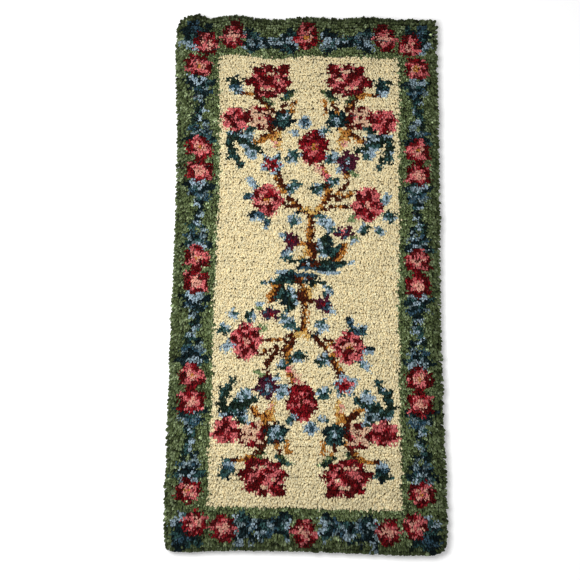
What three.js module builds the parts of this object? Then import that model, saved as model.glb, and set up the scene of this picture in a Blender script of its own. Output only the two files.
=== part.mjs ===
// A latch hook rug: a stiff open canvas with a knotted yarn pile on its face.
// Units are millimetres. The rug lies flat on Z = 0 with its width along X and
// its length along Y. The origin is the middle of its underside.
import * as THREE from 'three';

// Finished size over the pile, which spreads past the canvas on all four sides.
const width = 600;
const length = 1214;
const height = 24;

const canvasThickness = 2.2; // two layers at the turned-under hem, with the knots' loops
const knotGap = 0.3; // between the canvas and the pile that stands on it
const rimSpread = 11; // how far the outer tufts lean out past the canvas edge
const shoulderDrop = 8; // height of the rounding at the pile's rim, above and below
const shoulderSteps = 3;
const sideSteps = 3; // facets between two stations of a side, and on a corner

// Hooked by hand, the sides wander. Each row is a station along a side, as a
// share of that side, and how far the edge lies out (+) or in (-) there.
const nearSide = [
  { along: 0.0, out: 0 },
  { along: 0.2, out: -4 },
  { along: 0.45, out: -4 },
  { along: 0.65, out: 0 },
  { along: 0.85, out: 3 },
  { along: 1.0, out: 4 },
];
const rightSide = [
  { along: 0.0, out: 0 },
  { along: 0.2, out: -2 },
  { along: 0.48, out: -5 },
  { along: 0.7, out: -2 },
  { along: 0.87, out: 0 },
  { along: 0.94, out: -2 },
  { along: 1.0, out: 0 },
];
const farSide = [
  { along: 0.0, out: -4 },
  { along: 0.14, out: -6 },
  { along: 0.3, out: 0 },
  { along: 0.4, out: -4 },
  { along: 0.52, out: 0 },
  { along: 0.66, out: -7 },
  { along: 0.8, out: 4 },
  { along: 0.9, out: -3 },
  { along: 1.0, out: 4 },
];
const leftSide = [
  { along: 0.0, out: 0 },
  { along: 0.12, out: -1 },
  { along: 0.2, out: -6 },
  { along: 0.27, out: -7 },
  { along: 0.45, out: -6 },
  { along: 0.65, out: -3 },
  { along: 0.8, out: 0 },
  { along: 0.92, out: 2 },
  { along: 1.0, out: 0 },
];

// The sides in the order in which the edge runs round, anticlockwise from the
// near left corner, each with the rounding of the corner at its end.
const sides = [
  { table: nearSide, heading: 0, run: width, cornerRadius: 32 },
  { table: rightSide, heading: Math.PI / 2, run: length, cornerRadius: 12 },
  { table: farSide, heading: Math.PI, run: width, cornerRadius: 34 },
  { table: leftSide, heading: -Math.PI / 2, run: length, cornerRadius: 28 },
];

// A side's stations in the plane, drawn in by the inset, between its two corners.
function stationsOf(side, startRadius, inset) {
  const across = side.run === width ? length : width;
  const start = startRadius / side.run;
  const end = 1 - side.cornerRadius / side.run;
  const inner = side.table.filter((row) => row.along > start && row.along < end);
  const rows = [
    { along: start, out: side.table[0].out },
    ...inner,
    { along: end, out: side.table.at(-1).out },
  ];
  return rows.map((row) => {
    const offset = across / 2 + row.out - inset;
    const place = (row.along - 0.5) * (side.run - 2 * inset);
    return new THREE.Vector2(place, -offset).rotateAround(new THREE.Vector2(), side.heading);
  });
}

// Where two neighbouring sides would meet if their corner were square.
function cornerBetween(side, next) {
  const alongX = side.run === width;
  const here = side.points.at(-1);
  const there = next.points[0];
  return alongX ? new THREE.Vector2(there.x, here.y) : new THREE.Vector2(here.x, there.y);
}

// The rug's plan as one closed shape.
function planOf(inset) {
  const runs = sides.map((side, i) => {
    const before = sides[(i + sides.length - 1) % sides.length];
    return { run: side.run, points: stationsOf(side, before.cornerRadius, inset) };
  });
  const shape = new THREE.Shape();
  shape.moveTo(runs[0].points[0].x, runs[0].points[0].y);
  runs.forEach((side, i) => {
    const next = runs[(i + 1) % runs.length];
    const corner = cornerBetween(side, next);
    shape.splineThru(side.points.slice(1));
    shape.quadraticCurveTo(corner.x, corner.y, next.points[0].x, next.points[0].y);
  });
  return shape;
}

// The canvas with its hem turned under, as one stiff flat sheet.
function makeCanvas() {
  const geometry = new THREE.ExtrudeGeometry(planOf(rimSpread), {
    depth: canvasThickness,
    bevelEnabled: false,
    curveSegments: sideSteps,
  });
  const material = new THREE.MeshStandardMaterial({ color: '#d9cfb4', roughness: 0.95 });
  const mesh = new THREE.Mesh(geometry, material);
  mesh.name = 'canvas';
  return mesh;
}

// The pile as one slab: its flat base is as large as the canvas, and its rim
// swells out past it and rounds in again to the cut tips.
function makePile() {
  const pileDepth = height - canvasThickness - knotGap;
  const geometry = new THREE.ExtrudeGeometry(planOf(rimSpread), {
    depth: pileDepth - 2 * shoulderDrop,
    bevelThickness: shoulderDrop,
    bevelSize: rimSpread,
    bevelSegments: shoulderSteps,
    curveSegments: sideSteps,
  });
  const material = new THREE.MeshStandardMaterial({ color: '#9c9a6e', roughness: 1.0 });
  const mesh = new THREE.Mesh(geometry, material);
  mesh.name = 'pile';
  mesh.position.z = canvasThickness + knotGap + shoulderDrop;
  return mesh;
}

const rug = new THREE.Group();
rug.add(makeCanvas(), makePile());

// The wandering sides move the middle of the outline, so the rug is centred again.
const middle = new THREE.Box3().setFromObject(rug).getCenter(new THREE.Vector3());
rug.position.set(-middle.x, -middle.y, 0);

export default rug;
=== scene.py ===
"""A latch hook rug: cut wool knotted into an open cotton canvas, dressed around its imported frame.

Lengths are in metres. The design counts knots from the middle of the rug, x to the right and y
to the far end.
"""
import math

import bmesh
import bpy
import numpy as np
from bpy.props import FloatProperty, FloatVectorProperty, IntProperty, PointerProperty
from mathutils import Matrix, Vector


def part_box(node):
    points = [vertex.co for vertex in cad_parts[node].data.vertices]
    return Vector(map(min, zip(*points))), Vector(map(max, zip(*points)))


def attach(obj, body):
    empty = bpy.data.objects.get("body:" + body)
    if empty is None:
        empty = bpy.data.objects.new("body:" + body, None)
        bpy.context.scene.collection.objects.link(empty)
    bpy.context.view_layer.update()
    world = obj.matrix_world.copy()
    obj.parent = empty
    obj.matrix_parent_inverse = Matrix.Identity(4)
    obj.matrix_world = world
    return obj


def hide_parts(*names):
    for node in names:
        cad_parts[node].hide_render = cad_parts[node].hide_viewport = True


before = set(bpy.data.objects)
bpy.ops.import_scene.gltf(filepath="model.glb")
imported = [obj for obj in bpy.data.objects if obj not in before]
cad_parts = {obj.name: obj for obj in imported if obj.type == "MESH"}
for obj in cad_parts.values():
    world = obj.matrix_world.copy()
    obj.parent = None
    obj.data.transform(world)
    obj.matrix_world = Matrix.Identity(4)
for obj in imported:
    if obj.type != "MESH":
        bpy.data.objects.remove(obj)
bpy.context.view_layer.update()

bl_info = {
    "name": "Latch Hook Rug",
    "version": (1, 0, 0),
    "blender": (4, 5, 0),
    "location": "3D View > Sidebar > Rug",
    "description": "Hooks a floral wool pile into an open canvas",
    "category": "Object",
}

CANVAS_LOW, CANVAS_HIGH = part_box("canvas")
PILE_LOW, PILE_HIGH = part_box("pile")

MM = 0.001
KNOTS_ACROSS = 75
KNOTS_ALONG = 149
STRANDS_A_KNOT = 6
STRIPS = 5

# --- Yarns ---

# The letter that stands for each yarn in the design, its property name, and how far one strand's
# shade strays from the next.
YARNS = {
    "c": ("cream", 0.08),
    "g": ("green", 0.48),
    "d": ("dark_leaf", 0.40),
    "v": ("light_leaf", 0.15),
    "n": ("navy", 0.42),
    "b": ("blue", 0.26),
    "s": ("sky", 0.14),
    "e": ("slate", 0.35),
    "t": ("teal", 0.34),
    "m": ("maroon", 0.28),
    "r": ("crimson", 0.22),
    "p": ("rose", 0.18),
    "k": ("peach", 0.08),
    "q": ("blush", 0.06),
    "w": ("brown", 0.18),
    "o": ("gold", 0.14),
    "y": ("straw", 0.10),
    "u": ("plum", 0.18),
}


def linear(code):
    """A colour written as on a dye card, in the linear values that shaders take (the sRGB rule)."""
    parts = [int(code[i : i + 2], 16) / 255 for i in (1, 3, 5)]
    return tuple(p / 12.92 if p <= 0.04045 else ((p + 0.055) / 1.055) ** 2.4 for p in parts)


def colour(name, description, code):
    """A property for a dyed yarn's colour."""
    return FloatVectorProperty(
        name=name, description=description, default=linear(code), subtype="COLOR", size=3, min=0, max=1
    )


class RugColours(bpy.types.PropertyGroup):
    """The dyed yarns and the cotton of the canvas."""

    cream: colour("Cream", "Wool of the middle field", "#e9dbb2")
    green: colour("Green", "Wool of the border", "#627046")
    dark_leaf: colour("Dark leaf", "Wool of the dark leaves", "#1b2b20")
    light_leaf: colour("Light leaf", "Wool of the light leaves", "#7c9060")
    navy: colour("Navy", "Wool of the darkest vine and leaves", "#0e2023")
    blue: colour("Blue", "Wool of the leaf blades", "#375565")
    sky: colour("Sky", "Wool of the buds and leaf tips", "#9db2be")
    slate: colour("Slate", "Wool of the vine's lit leaves", "#71858a")
    teal: colour("Teal", "Wool of the leaf hearts", "#315351")
    maroon: colour("Maroon", "Wool of the roses' outer petals", "#570508")
    crimson: colour("Crimson", "Wool of the roses' inner petals", "#8c101c")
    rose: colour("Rose", "Wool of the roses' lit petals", "#d0686a")
    peach: colour("Peach", "Wool of the palest petals", "#e2a592")
    blush: colour("Blush", "Wool of the pale halos round the petals", "#dcb89a")
    brown: colour("Brown", "Wool of the branches", "#4a1c08")
    gold: colour("Gold", "Wool of the buds and blossom hearts", "#b97c34")
    straw: colour("Straw", "Wool of the pale golden buds", "#dab468")
    plum: colour("Plum", "Wool of the small blossoms", "#4c1a2c")
    cotton: colour("Cotton", "Stiffened cotton of the canvas", "#c2b493")


def measure(name, description, metres):
    """A property for a length in metres."""
    return FloatProperty(name=name, description=description, default=metres, unit="LENGTH")


def angle(name, description, degrees):
    """A property for an angle."""
    return FloatProperty(
        name=name, description=description, default=math.radians(degrees), subtype="ANGLE"
    )


class RugSizes(bpy.types.PropertyGroup):
    """The yarn, the pile and the canvas threads."""

    strand_length: measure("Strand length", "Length of a cut strand above the canvas", 24 * MM)
    strand_radius: measure(
        "Strand radius", "Half the thickness of a strand where it opens out near its tip", 3.3 * MM
    )
    lean: angle("Lean", "How far the pile leans towards the near end", 30)
    rim_reach: measure("Rim reach", "How far the outer strands lean out over the edge", 12 * MM)
    weft_thickness: measure("Weft thickness", "Thickness of a thread across the canvas", 1.5 * MM)
    warp_thickness: measure(
        "Warp thickness", "Thickness of one of a pair of threads along the canvas", 1.1 * MM
    )
    hem_knots: IntProperty(
        name="Hem", description="Depth of the turned-under hem, in knots", default=4, min=1, max=8
    )
    seed: IntProperty(
        name="Seed", description="Start of the hand's unevenness", default=7, min=0, max=999
    )


class RugStage(bpy.types.PropertyGroup):
    """The camera."""

    camera_height: angle("Camera angle", "Angle of the view above the floor", 76.2)
    camera_roll: angle("Camera roll", "How far the camera is turned about its line of sight", 0.29)
    camera_distance: measure("Camera distance", "From the camera to what it looks at", 3.15)
    lens: FloatProperty(
        name="Lens", description="Focal length of the camera", default=89.15, unit="CAMERA"
    )


# --- Design ---

KNOT_X = np.arange(KNOTS_ACROSS)[None, :] - KNOTS_ACROSS // 2
KNOT_Y = KNOTS_ALONG // 2 - np.arange(KNOTS_ALONG)[:, None]

FIELD_X = (-26, 26)
FIELD_Y = (-63, 64)

# The near half mirrors or turns the far one. It is hooked this many rows further on, because the
# middle of the field, and of the border, lies a little to the far side of the rug's own.
FIELD_SHIFT = 2
BORDER_SHIFT = 1

LEAF_FULL = 0.7  # the lower, the blunter the leaves' ends
LEAF_SPARE = 0.3  # of a knot, so that a thin leaf has no gaps
VEIN_HALF = 0.5

PETAL_LIP = 0.5  # where a petal's lit lip starts, as a share of the way out
PETAL_LIT = 0.2  # the cosine of the farthest that the lip runs round from its middle

# A rose's edge waves in and out by a share of its reach, and its petals lap round by an angle on
# the way out. Each part is a place in its yarns (dark, deep, lit, pale and heart), how far out it
# reaches, and the lap below which it shows, from -1 in the fold between two petals to 1 on them.
ROSE_WAVE = 0.04
ROSE_LAP = 3.0
EVERYWHERE = 2
ROSE_PARTS = (
    (0, 1.02, EVERYWHERE),
    (2, 1.02, -0.85),
    (1, 0.76, 0.45),
    (2, 0.76, -0.10),
    (2, 0.46, EVERYWHERE),
    (3, 0.46, 0.2),
    (4, 0.2, EVERYWHERE),
)

# A bloom's outer petals, from the back: the way out to each in degrees, and how far out. Then the
# inner ones: the way out to each, and its yarns.
BLOOM_BACK = ((95, 3.4), (50, 4.2), (140, 3.9), (0, 3.8), (185, 4.3), (320, 3.4), (225, 3.9), (270, 3.0))
BLOOM_FRONT = ((75, "pq"), (160, "mp"), (235, "pq"), (330, "mp"))

# A blossom's edge, the wave of its petals, and how far out its petals, middle and heart reach.
BLOSSOM_EDGE = 0.88
BLOSSOM_WAVE = 0.20
BLOSSOM_PARTS = (1.05, 0.64, 0.30)

# A vine's leaves: their yarns, where base and tip lie along the vine from the fork, how far the
# tip spreads, as a share of the leaves' reach, and their width.
VINE_BOW = 0.9
VINE_STEP = 2.6  # from one fork to the next
VINE_NARROW = 1.4  # how far the leaves reach at the middle of the vine
VINE_SHY = 0.6  # how much less the leaves at its ends reach than the fan beyond them
VINE_LEAVES = (("ne", 0.0, 1.4, 1.0, 1.4), ("ss", -1.0, 0.0, 0.7, 0.6))
VINE_FAN = (("nn", -1.0, 1.2, 1.0, 2.0), ("se", -0.5, 3.0, 0.6, 1.4), ("eb", -2.5, -1.5, 0.8, 1.4))

# Heights in the side borders of the pairs of roses, the single ones and the vines between.
ROSE_PAIRS = (33.5, 1.5, -31.5)
SINGLE_ROSES = (61.4, -59)
VINES = (48, 17, -15, -46)
VINE_HALF = 8

# Which yarn a knot may be hooked in by a slip of the hand, and how often that happens.
SLIP_SEED = 11
SLIPS = {
    "n": ("t", 0.24),
    "b": ("n", 0.26),
    "s": ("t", 0.20),
    "t": ("s", 0.22),
    "e": ("n", 0.36),
    "d": ("t", 0.24),
    "m": ("r", 0.20),
    "r": ("p", 0.14),
    "p": ("m", 0.10),
    "w": ("o", 0.14),
    "o": ("w", 0.16),
    "u": ("b", 0.12),
}


def blank_layer():
    """A layer of the design with no knot drawn yet."""
    return np.full((KNOTS_ALONG, KNOTS_ACROSS), ".")


def lay_over(ground, layer):
    """Puts what is drawn on a layer over the ground."""
    ground[layer != "."] = layer[layer != "."]


def near_half(layer, shift):
    """The same layer reflected to the near half of the design, this many rows to the far side."""
    return np.roll(layer[::-1], -shift, axis=0)


def branch(layer, yarns, start, end, bow=0.0):
    """A limb bowed to the left of its way, with a second yarn beside the first if there is one."""
    span = np.subtract(end, start)
    share = np.linspace(0, 1, 3 * math.ceil(abs(span).max()) + 1)[:, None]
    aside = np.array((-span[1], span[0])) / math.hypot(*span)
    places = start + share * span + 4 * share * (1 - share) * bow * aside
    columns = np.rint(places[:, 0]).astype(int) + KNOTS_ACROSS // 2
    rows = KNOTS_ALONG // 2 - np.rint(places[:, 1]).astype(int)
    layer[rows, columns - 1] = np.where(len(yarns) > 1, yarns[-1], layer[rows, columns - 1])
    layer[rows, columns] = yarns[0]


def leaf(layer, yarns, base, tip, width):
    """A pointed leaf: a yarn left of its middle, one right of it, and maybe one along it."""
    reach = np.subtract(tip, base)
    length = math.hypot(*reach)
    right, far = KNOT_X - base[0], KNOT_Y - base[1]
    along = (right * reach[0] + far * reach[1]) / length**2
    side = (far * reach[0] - right * reach[1]) / length
    half = width / 2 * np.sin(math.pi * np.clip(along, 0, 1)) ** LEAF_FULL
    inside = (along > 0) & (along < 1) & (np.abs(side) < half + LEAF_SPARE)
    layer[inside & (side >= 0)] = yarns[0]
    layer[inside & (side < 0)] = yarns[1]
    if len(yarns) > 2:
        layer[inside & (np.abs(side) < VEIN_HALF)] = yarns[2]


def round_place(place, size):
    """How far each knot lies from a place, in halves of the size, and in which direction."""
    right = (KNOT_X - place[0]) * 2 / size[0]
    far = (KNOT_Y - place[1]) * 2 / size[1]
    return np.hypot(right, far), np.arctan2(far, right)


def bud(layer, yarns, place, size):
    """A round bud in bands of yarn from its far side to its near one."""
    reach, _ = round_place(place, size)
    band = (place[1] + size[1] / 2 - KNOT_Y) / size[1] * len(yarns)
    for number, yarn in enumerate(yarns):
        layer[(reach < 1) & (band >= number) & (band < number + 1)] = yarn


def petal(layer, yarns, place, size, lit_side):
    """A round petal with a lit lip on the side in this direction, in degrees."""
    reach, way = round_place(place, size)
    layer[reach < 1] = yarns[0]
    lip = (reach > PETAL_LIP) & (reach < 1) & (np.cos(way - math.radians(lit_side)) > PETAL_LIT)
    layer[lip] = yarns[1]


def rose(layer, yarns, place, size, petals, turn):
    """An open rose: dark petals with lit folds between, lapped round a pale ring and a heart."""
    reach, way = round_place(place, size)
    reach = reach / (1 - ROSE_WAVE / 2 + ROSE_WAVE * np.cos(petals * (way + turn)))
    lap = np.cos(petals * (way + turn) + ROSE_LAP * reach)
    for part, out, shown_below in ROSE_PARTS:
        layer[(reach < out) & (lap < shown_below)] = yarns[part]


def on_oval(place, way, half_width, half_depth):
    """The place in this direction, in degrees, on an oval round another place."""
    way = math.radians(way)
    return place[0] + half_width * math.cos(way), place[1] + half_depth * math.sin(way)


def bloom(layer, place):
    """A great blown rose: petals lit inside, laid round from the back, folds and a heart."""
    x, y = place
    for way, out in BLOOM_BACK:
        petal(layer, "mp", on_oval(place, way, 1.15 * out, 1.05 * out), (4.2, 3.8), way + 140)
    for way, yarns in BLOOM_FRONT:
        petal(layer, yarns, on_oval(place, way, 2.0, 1.8), (3.8, 3.4), way + 40)
    petal(layer, "mr", (x + 0.4, y - 0.2), (2.6, 2.4), 300)
    petal(layer, "mm", (x + 5.2, y + 4.2), (1.6, 3.0), 0)


def blossom(layer, yarns, place, size, petals, turn):
    """A small flower or a bud, with a yarn for its petals, its middle and its heart."""
    reach, way = round_place(place, size)
    reach = reach / (BLOSSOM_EDGE + BLOSSOM_WAVE * np.cos(petals * (way + turn)))
    for yarn, out in zip(yarns, BLOSSOM_PARTS):
        layer[reach < out] = yarn


def forked_leaves(layer, leaves, fork, way, out):
    """Leaves from a fork of a vine, spread to one side of its way."""
    for yarns, base, tip, spread, width in leaves:
        leaf(layer, yarns, fork + base * way, fork + tip * way + spread * out, width)


def vine(layer, start, end, reach):
    """A wavy stem whose small leaves spread into a fan at both of its ends."""
    start, end = np.array(start, float), np.array(end, float)
    length = math.hypot(*(end - start))
    way = (end - start) / length
    aside = np.array((-way[1], way[0]))
    middle = (start + end) / 2
    branch(layer, "nd", start, middle, VINE_BOW)
    branch(layer, "nd", middle, end, -VINE_BOW)
    side = 1
    for run in np.arange(1.0, length - 1, VINE_STEP):
        widening = (reach - VINE_SHY - VINE_NARROW) * (2 * run / length - 1) ** 2
        out = side * aside * (VINE_NARROW + widening)
        forked_leaves(layer, VINE_LEAVES, start + way * run, way, out)
        side = -side
    for fork, outward in ((start, -way), (end, way)):
        for out in (reach * aside, -reach * aside):
            forked_leaves(layer, VINE_FAN, fork, outward, out)


def corner_spray():
    """A great bloom over two half-hidden roses, buds and a fan of leaves."""
    layer = blank_layer()
    branch(layer, "w", (-6.5, 52), (-8, 46), -0.5)
    branch(layer, "o", (-5, 48.5), (-4.5, 51), 0.4)
    bloom(layer, (-11.4, 57.2))
    bud(layer, "tbs", (-21.5, 54.7), (5, 3.6))
    leaf(layer, "dd", (-22, 55), (-24, 57.5), 1)
    leaf(layer, "dn", (-21.5, 55), (-21.3, 58.5), 1)
    leaf(layer, "dt", (-21, 55), (-19, 57), 1)
    leaf(layer, "dg", (-11, 50.5), (-14.5, 52.5), 2)
    leaf(layer, "dg", (-8, 51.5), (-4, 54.5), 1.5)
    rose(layer, "prmmp", (-22, 45.3), (8, 7.2), 4, 0.4)
    rose(layer, "mpqqm", (-14.8, 46.2), (7.6, 7.2), 4, 1.0)
    branch(layer, "w", (-20, 53), (-10.5, 47.5), 1.8)
    branch(layer, "w", (-10.5, 47.5), (-12, 42), 0.5)
    branch(layer, "w", (-12, 42), (-18, 38), 0.8)
    branch(layer, "o", (-18, 53), (-15, 52), 0.3)
    blossom(layer, "nts", (-8, 45.5), (6, 6), 5, 0.3)
    leaf(layer, "oy", (-12, 40), (-8, 43), 2)
    leaf(layer, "oo", (-12.5, 41), (-8, 39.5), 1.5)
    leaf(layer, "yk", (-10.5, 41), (-9, 36.5), 1.5)
    leaf(layer, "ow", (-11, 42), (-18, 37.5), 1.4)
    leaf(layer, "ds", (-21, 38.5), (-16, 43.5), 2.2)
    leaf(layer, "des", (-16, 39), (-24.5, 41), 3)
    leaf(layer, "dsd", (-21.5, 38.5), (-13.5, 36), 2.8)
    leaf(layer, "ss", (-19.5, 37), (-15.5, 33.5), 2)
    leaf(layer, "dd", (-20, 40), (-26, 37.5), 1.6)
    leaf(layer, "dtd", (-24.5, 39), (-20, 30.5), 1.8)
    leaf(layer, "dd", (-23, 36), (-24.5, 33), 1)
    return layer


def tree():
    """The far half of the tree: trunk, limbs, three roses, and their buds and leaves."""
    layer = blank_layer()
    branch(layer, "wo", (2.4, 3.5), (1, 17.5), 0.7)
    branch(layer, "w", (3, 3), (2, 9), 0.3)
    branch(layer, "oy", (-1.5, 3.5), (0, 9), -0.5)
    branch(layer, "w", (-4, 4.5), (5, 3.5), -0.8)
    branch(layer, "w", (0.5, 17.5), (-7, 25), 1.2)
    branch(layer, "wo", (-7, 24), (-9.5, 30), -0.4)
    branch(layer, "w", (-4.5, 20.5), (-9.5, 21.5), 0.5)
    branch(layer, "wo", (2, 17.5), (6.5, 25.5), -0.6)
    branch(layer, "w", (6.5, 25.5), (3.5, 32), -0.4)
    branch(layer, "w", (5.5, 22.5), (11, 31), -2.2)
    branch(layer, "w", (4, 19.5), (12.5, 20.5), -0.3)
    branch(layer, "w", (6, 23), (12, 23.5), -0.8)
    branch(layer, "w", (0.5, 8.5), (-4, 10.5), 0.4)
    branch(layer, "y", (-1, 19), (3, 19), -0.6)
    rose(layer, "mmrpo", (1, 37), (8.4, 10.5), 5, 0.9)
    leaf(layer, "pq", (1, 33), (5.5, 26.5), 1.8)
    blossom(layer, "sb", (-1.5, 44.5), (3.5, 4), 4, 0.0)
    leaf(layer, "ss", (-3, 41.5), (-6.5, 42), 1.5)
    leaf(layer, "st", (3, 40.5), (5, 44), 1.5)
    leaf(layer, "stt", (-3, 36), (-7, 33.5), 3)
    leaf(layer, "tss", (4.5, 35.5), (8.5, 32.5), 3)
    leaf(layer, "tsd", (5, 26), (0, 24.5), 2.5)
    leaf(layer, "dst", (5, 26.5), (9, 28), 2)
    blossom(layer, "srm", (-11, 32.5), (6.5, 6), 5, 0.3)
    blossom(layer, "uus", (11, 33), (6.5, 6.5), 5, 0.8)
    leaf(layer, "ss", (8.5, 34), (7, 36.5), 1.5)
    leaf(layer, "ss", (9, 32), (7.5, 30), 1)
    leaf(layer, "vv", (12, 31), (14, 28.5), 1)
    leaf(layer, "ss", (-15, 25), (-18.5, 28.5), 1.5)
    leaf(layer, "bs", (-16, 22), (-20, 23), 2)
    rose(layer, "prmko", (-12.5, 22), (9, 8.6), 5, 0.2)
    leaf(layer, "snb", (-14, 18.5), (-18, 16), 2)
    leaf(layer, "dsb", (-14, 17.5), (-11.5, 13.5), 2)
    leaf(layer, "tsd", (-7.5, 24.5), (-2.5, 26.5), 2.5)
    blossom(layer, "stt", (-4.5, 16), (4.5, 4.5), 4, 0.4)
    leaf(layer, "nn", (-4, 17), (-2, 19), 1)
    leaf(layer, "ss", (-5, 10), (-8, 12.5), 1.5)
    leaf(layer, "sb", (-5, 8), (-7.5, 5.5), 2)
    blossom(layer, "uur", (-5, 10), (5, 5), 5, 0.6)
    rose(layer, "prmrk", (17, 20.5), (8.6, 10), 5, 1.4)
    leaf(layer, "ss", (21, 21), (24, 24), 1.5)
    leaf(layer, "dst", (21.5, 18), (25.5, 17), 2.5)
    leaf(layer, "ts", (20, 15), (21.5, 12), 2)
    leaf(layer, "dst", (17, 15), (15, 12), 2)
    blossom(layer, "vt", (12.5, 16.5), (2.5, 2.5), 4, 0)
    leaf(layer, "sst", (2, 17.5), (7.5, 13), 3)
    leaf(layer, "dnd", (5, 4.5), (5.5, 13), 3.2)
    leaf(layer, "ddt", (6, 5), (10, 9.5), 2)
    leaf(layer, "dts", (5, 5), (2.5, 10), 2)
    branch(layer, "ow", (8, 4), (11, 9), -0.8)
    leaf(layer, "vs", (12, 10.5), (15, 10), 1.5)
    blossom(layer, "uur", (10.5, 12.5), (5, 4), 5, 0.2)
    leaf(layer, "nd", (1, 4.2), (-4.5, 3.8), 1.4)
    leaf(layer, "dt", (-3.5, 4), (-7, 5.2), 0.8)
    leaf(layer, "dn", (3, 3.4), (9, 3.2), 1.6)
    leaf(layer, "dt", (8, 3.4), (13.5, 4.4), 1.2)
    leaf(layer, "sb", (-3.5, 2.4), (3.5, 2.2), 0.8)
    leaf(layer, "ns", (3, 1.6), (9.5, 1.4), 1.0)
    return layer


def side_border():
    """Pairs of roses up the left border, with a leafy vine between."""
    layer = blank_layer()
    for y in VINES:
        vine(layer, (-31.8, y - VINE_HALF), (-31.8, y + VINE_HALF), 4.2)
    for y in ROSE_PAIRS:
        rose(layer, "mrpko", (-32, y + 3.4), (7.6, 6.5), 3, 0.3)
        rose(layer, "mrpkk", (-32, y - 3.4), (7.6, 6.5), 4, 0.7)
    for y in SINGLE_ROSES:
        rose(layer, "mrpko", (-32, y), (7.6, 6.5), 4, 1.1)
    return layer


def corner_border():
    """Two roses in the left far corner of the border, with leaves in the bend and a vine."""
    layer = blank_layer()
    leaf(layer, "nb", (-29, 67), (-36, 73), 5)
    leaf(layer, "sn", (-32, 66), (-36.5, 69.5), 2.5)
    leaf(layer, "nd", (-33, 70), (-28, 73), 2)
    vine(layer, (-17, 69), (-6, 69), 3.2)
    rose(layer, "mrpkk", (-22.5, 70), (7, 6.8), 4, 0.1)
    rose(layer, "mrpkp", (-30, 68.3), (7, 7), 3, 0.6)
    return layer


def near_leaves():
    """More leaves in the left half of the near border, which is deeper than the far one."""
    layer = blank_layer()
    leaf(layer, "nb", (-30, -67), (-36, -74), 5)
    leaf(layer, "es", (-31, -67.5), (-36, -70.5), 2)
    leaf(layer, "nd", (-33, -69), (-28, -73), 2)
    leaf(layer, "se", (-18, -67), (-19, -74), 2.4)
    leaf(layer, "ne", (-16, -68), (-14.5, -73), 2.0)
    leaf(layer, "es", (-12.5, -67), (-12, -73), 1.4)
    leaf(layer, "bs", (-9, -68), (-11, -71.5), 1.6)
    leaf(layer, "se", (-5.5, -66), (-5, -73), 1.8)
    return layer


def end_roses():
    """The rose in the middle of the far border, and the one in the near."""
    layer = blank_layer()
    rose(layer, "mrpko", (-0.5, 70), (7.2, 6.8), 5, 0.5)
    rose(layer, "mrpkk", (-0.5, -70), (7.2, 7.2), 4, 0.2)
    return layer


def slipped(ground):
    """The design with the odd knot hooked in a neighbouring yarn."""
    chance = np.random.default_rng(SLIP_SEED).random(ground.shape)
    knotted = ground.copy()
    for yarn, (other, share) in SLIPS.items():
        knotted[(ground == yarn) & (chance < share)] = other
    return knotted


def knotted_design():
    """The whole rug's design, far row first, with a letter for each knot's yarn."""
    field = (KNOT_X >= FIELD_X[0]) & (KNOT_X <= FIELD_X[1])
    field = field & (KNOT_Y >= FIELD_Y[0]) & (KNOT_Y <= FIELD_Y[1])
    ground = np.where(field, "c", "g")
    layers = [side_border(), side_border()[:, ::-1], near_leaves(), near_leaves()[:, ::-1]]
    for layer, shift in ((corner_border(), BORDER_SHIFT), (corner_spray(), FIELD_SHIFT)):
        near = near_half(layer, shift)
        layers += [layer, layer[:, ::-1], near, near[:, ::-1]]
    layers += [end_roses(), tree(), near_half(tree(), FIELD_SHIFT)[:, ::-1]]
    for layer in layers:
        lay_over(ground, layer)
    return slipped(ground)


# --- The rug's outline and where the knots sit in it ---

CORNER_ROOM = 30 * MM  # the sides are read this far clear of the rounded corners
CORNER_SHARE = 0.55  # how much of a corner's rounding its knots take up along each axis
CORNER_FADE = 25 * MM
EDGE_STEP = 5 * MM  # between the places at which the edge's direction is read
EDGE_BLEND = 14 * MM  # how soon the direction of a stretch of edge is lost with distance
HAIR = 0.1 * MM  # less than this apart is level
TINY = 1e-9  # keeps a length of nothing from being divided by

# How far the columns of the middle stray to the right, from the near end to the far one.
COLUMNS_WANDER = ((-0.6, -0.1, 0.15, 0.6), (0.0, 0.0, 5 * MM, 5 * MM))
WANDER_FALL = 6  # the higher, the nearer the edge before the straying is lost


def canvas_outline():
    """The canvas edge as a closed ring of points, anticlockwise."""
    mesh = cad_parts["canvas"].data
    points = np.array([v.co[:] for v in mesh.vertices])
    level = points[:, 2] < points[:, 2].min() + HAIR
    low = np.unique(points[level, :2].round(5), axis=0)
    middle = low.mean(0)
    turn = np.arctan2(low[:, 1] - middle[1], low[:, 0] - middle[0])
    return low[np.argsort(turn)]


def edge_along(at, value, chosen):
    """The edge at any place along one side, from the points of the ring chosen for it."""
    order = np.argsort(at[chosen])
    at, value = at[chosen][order], value[chosen][order]
    return lambda place: np.interp(place, at, value)


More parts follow.
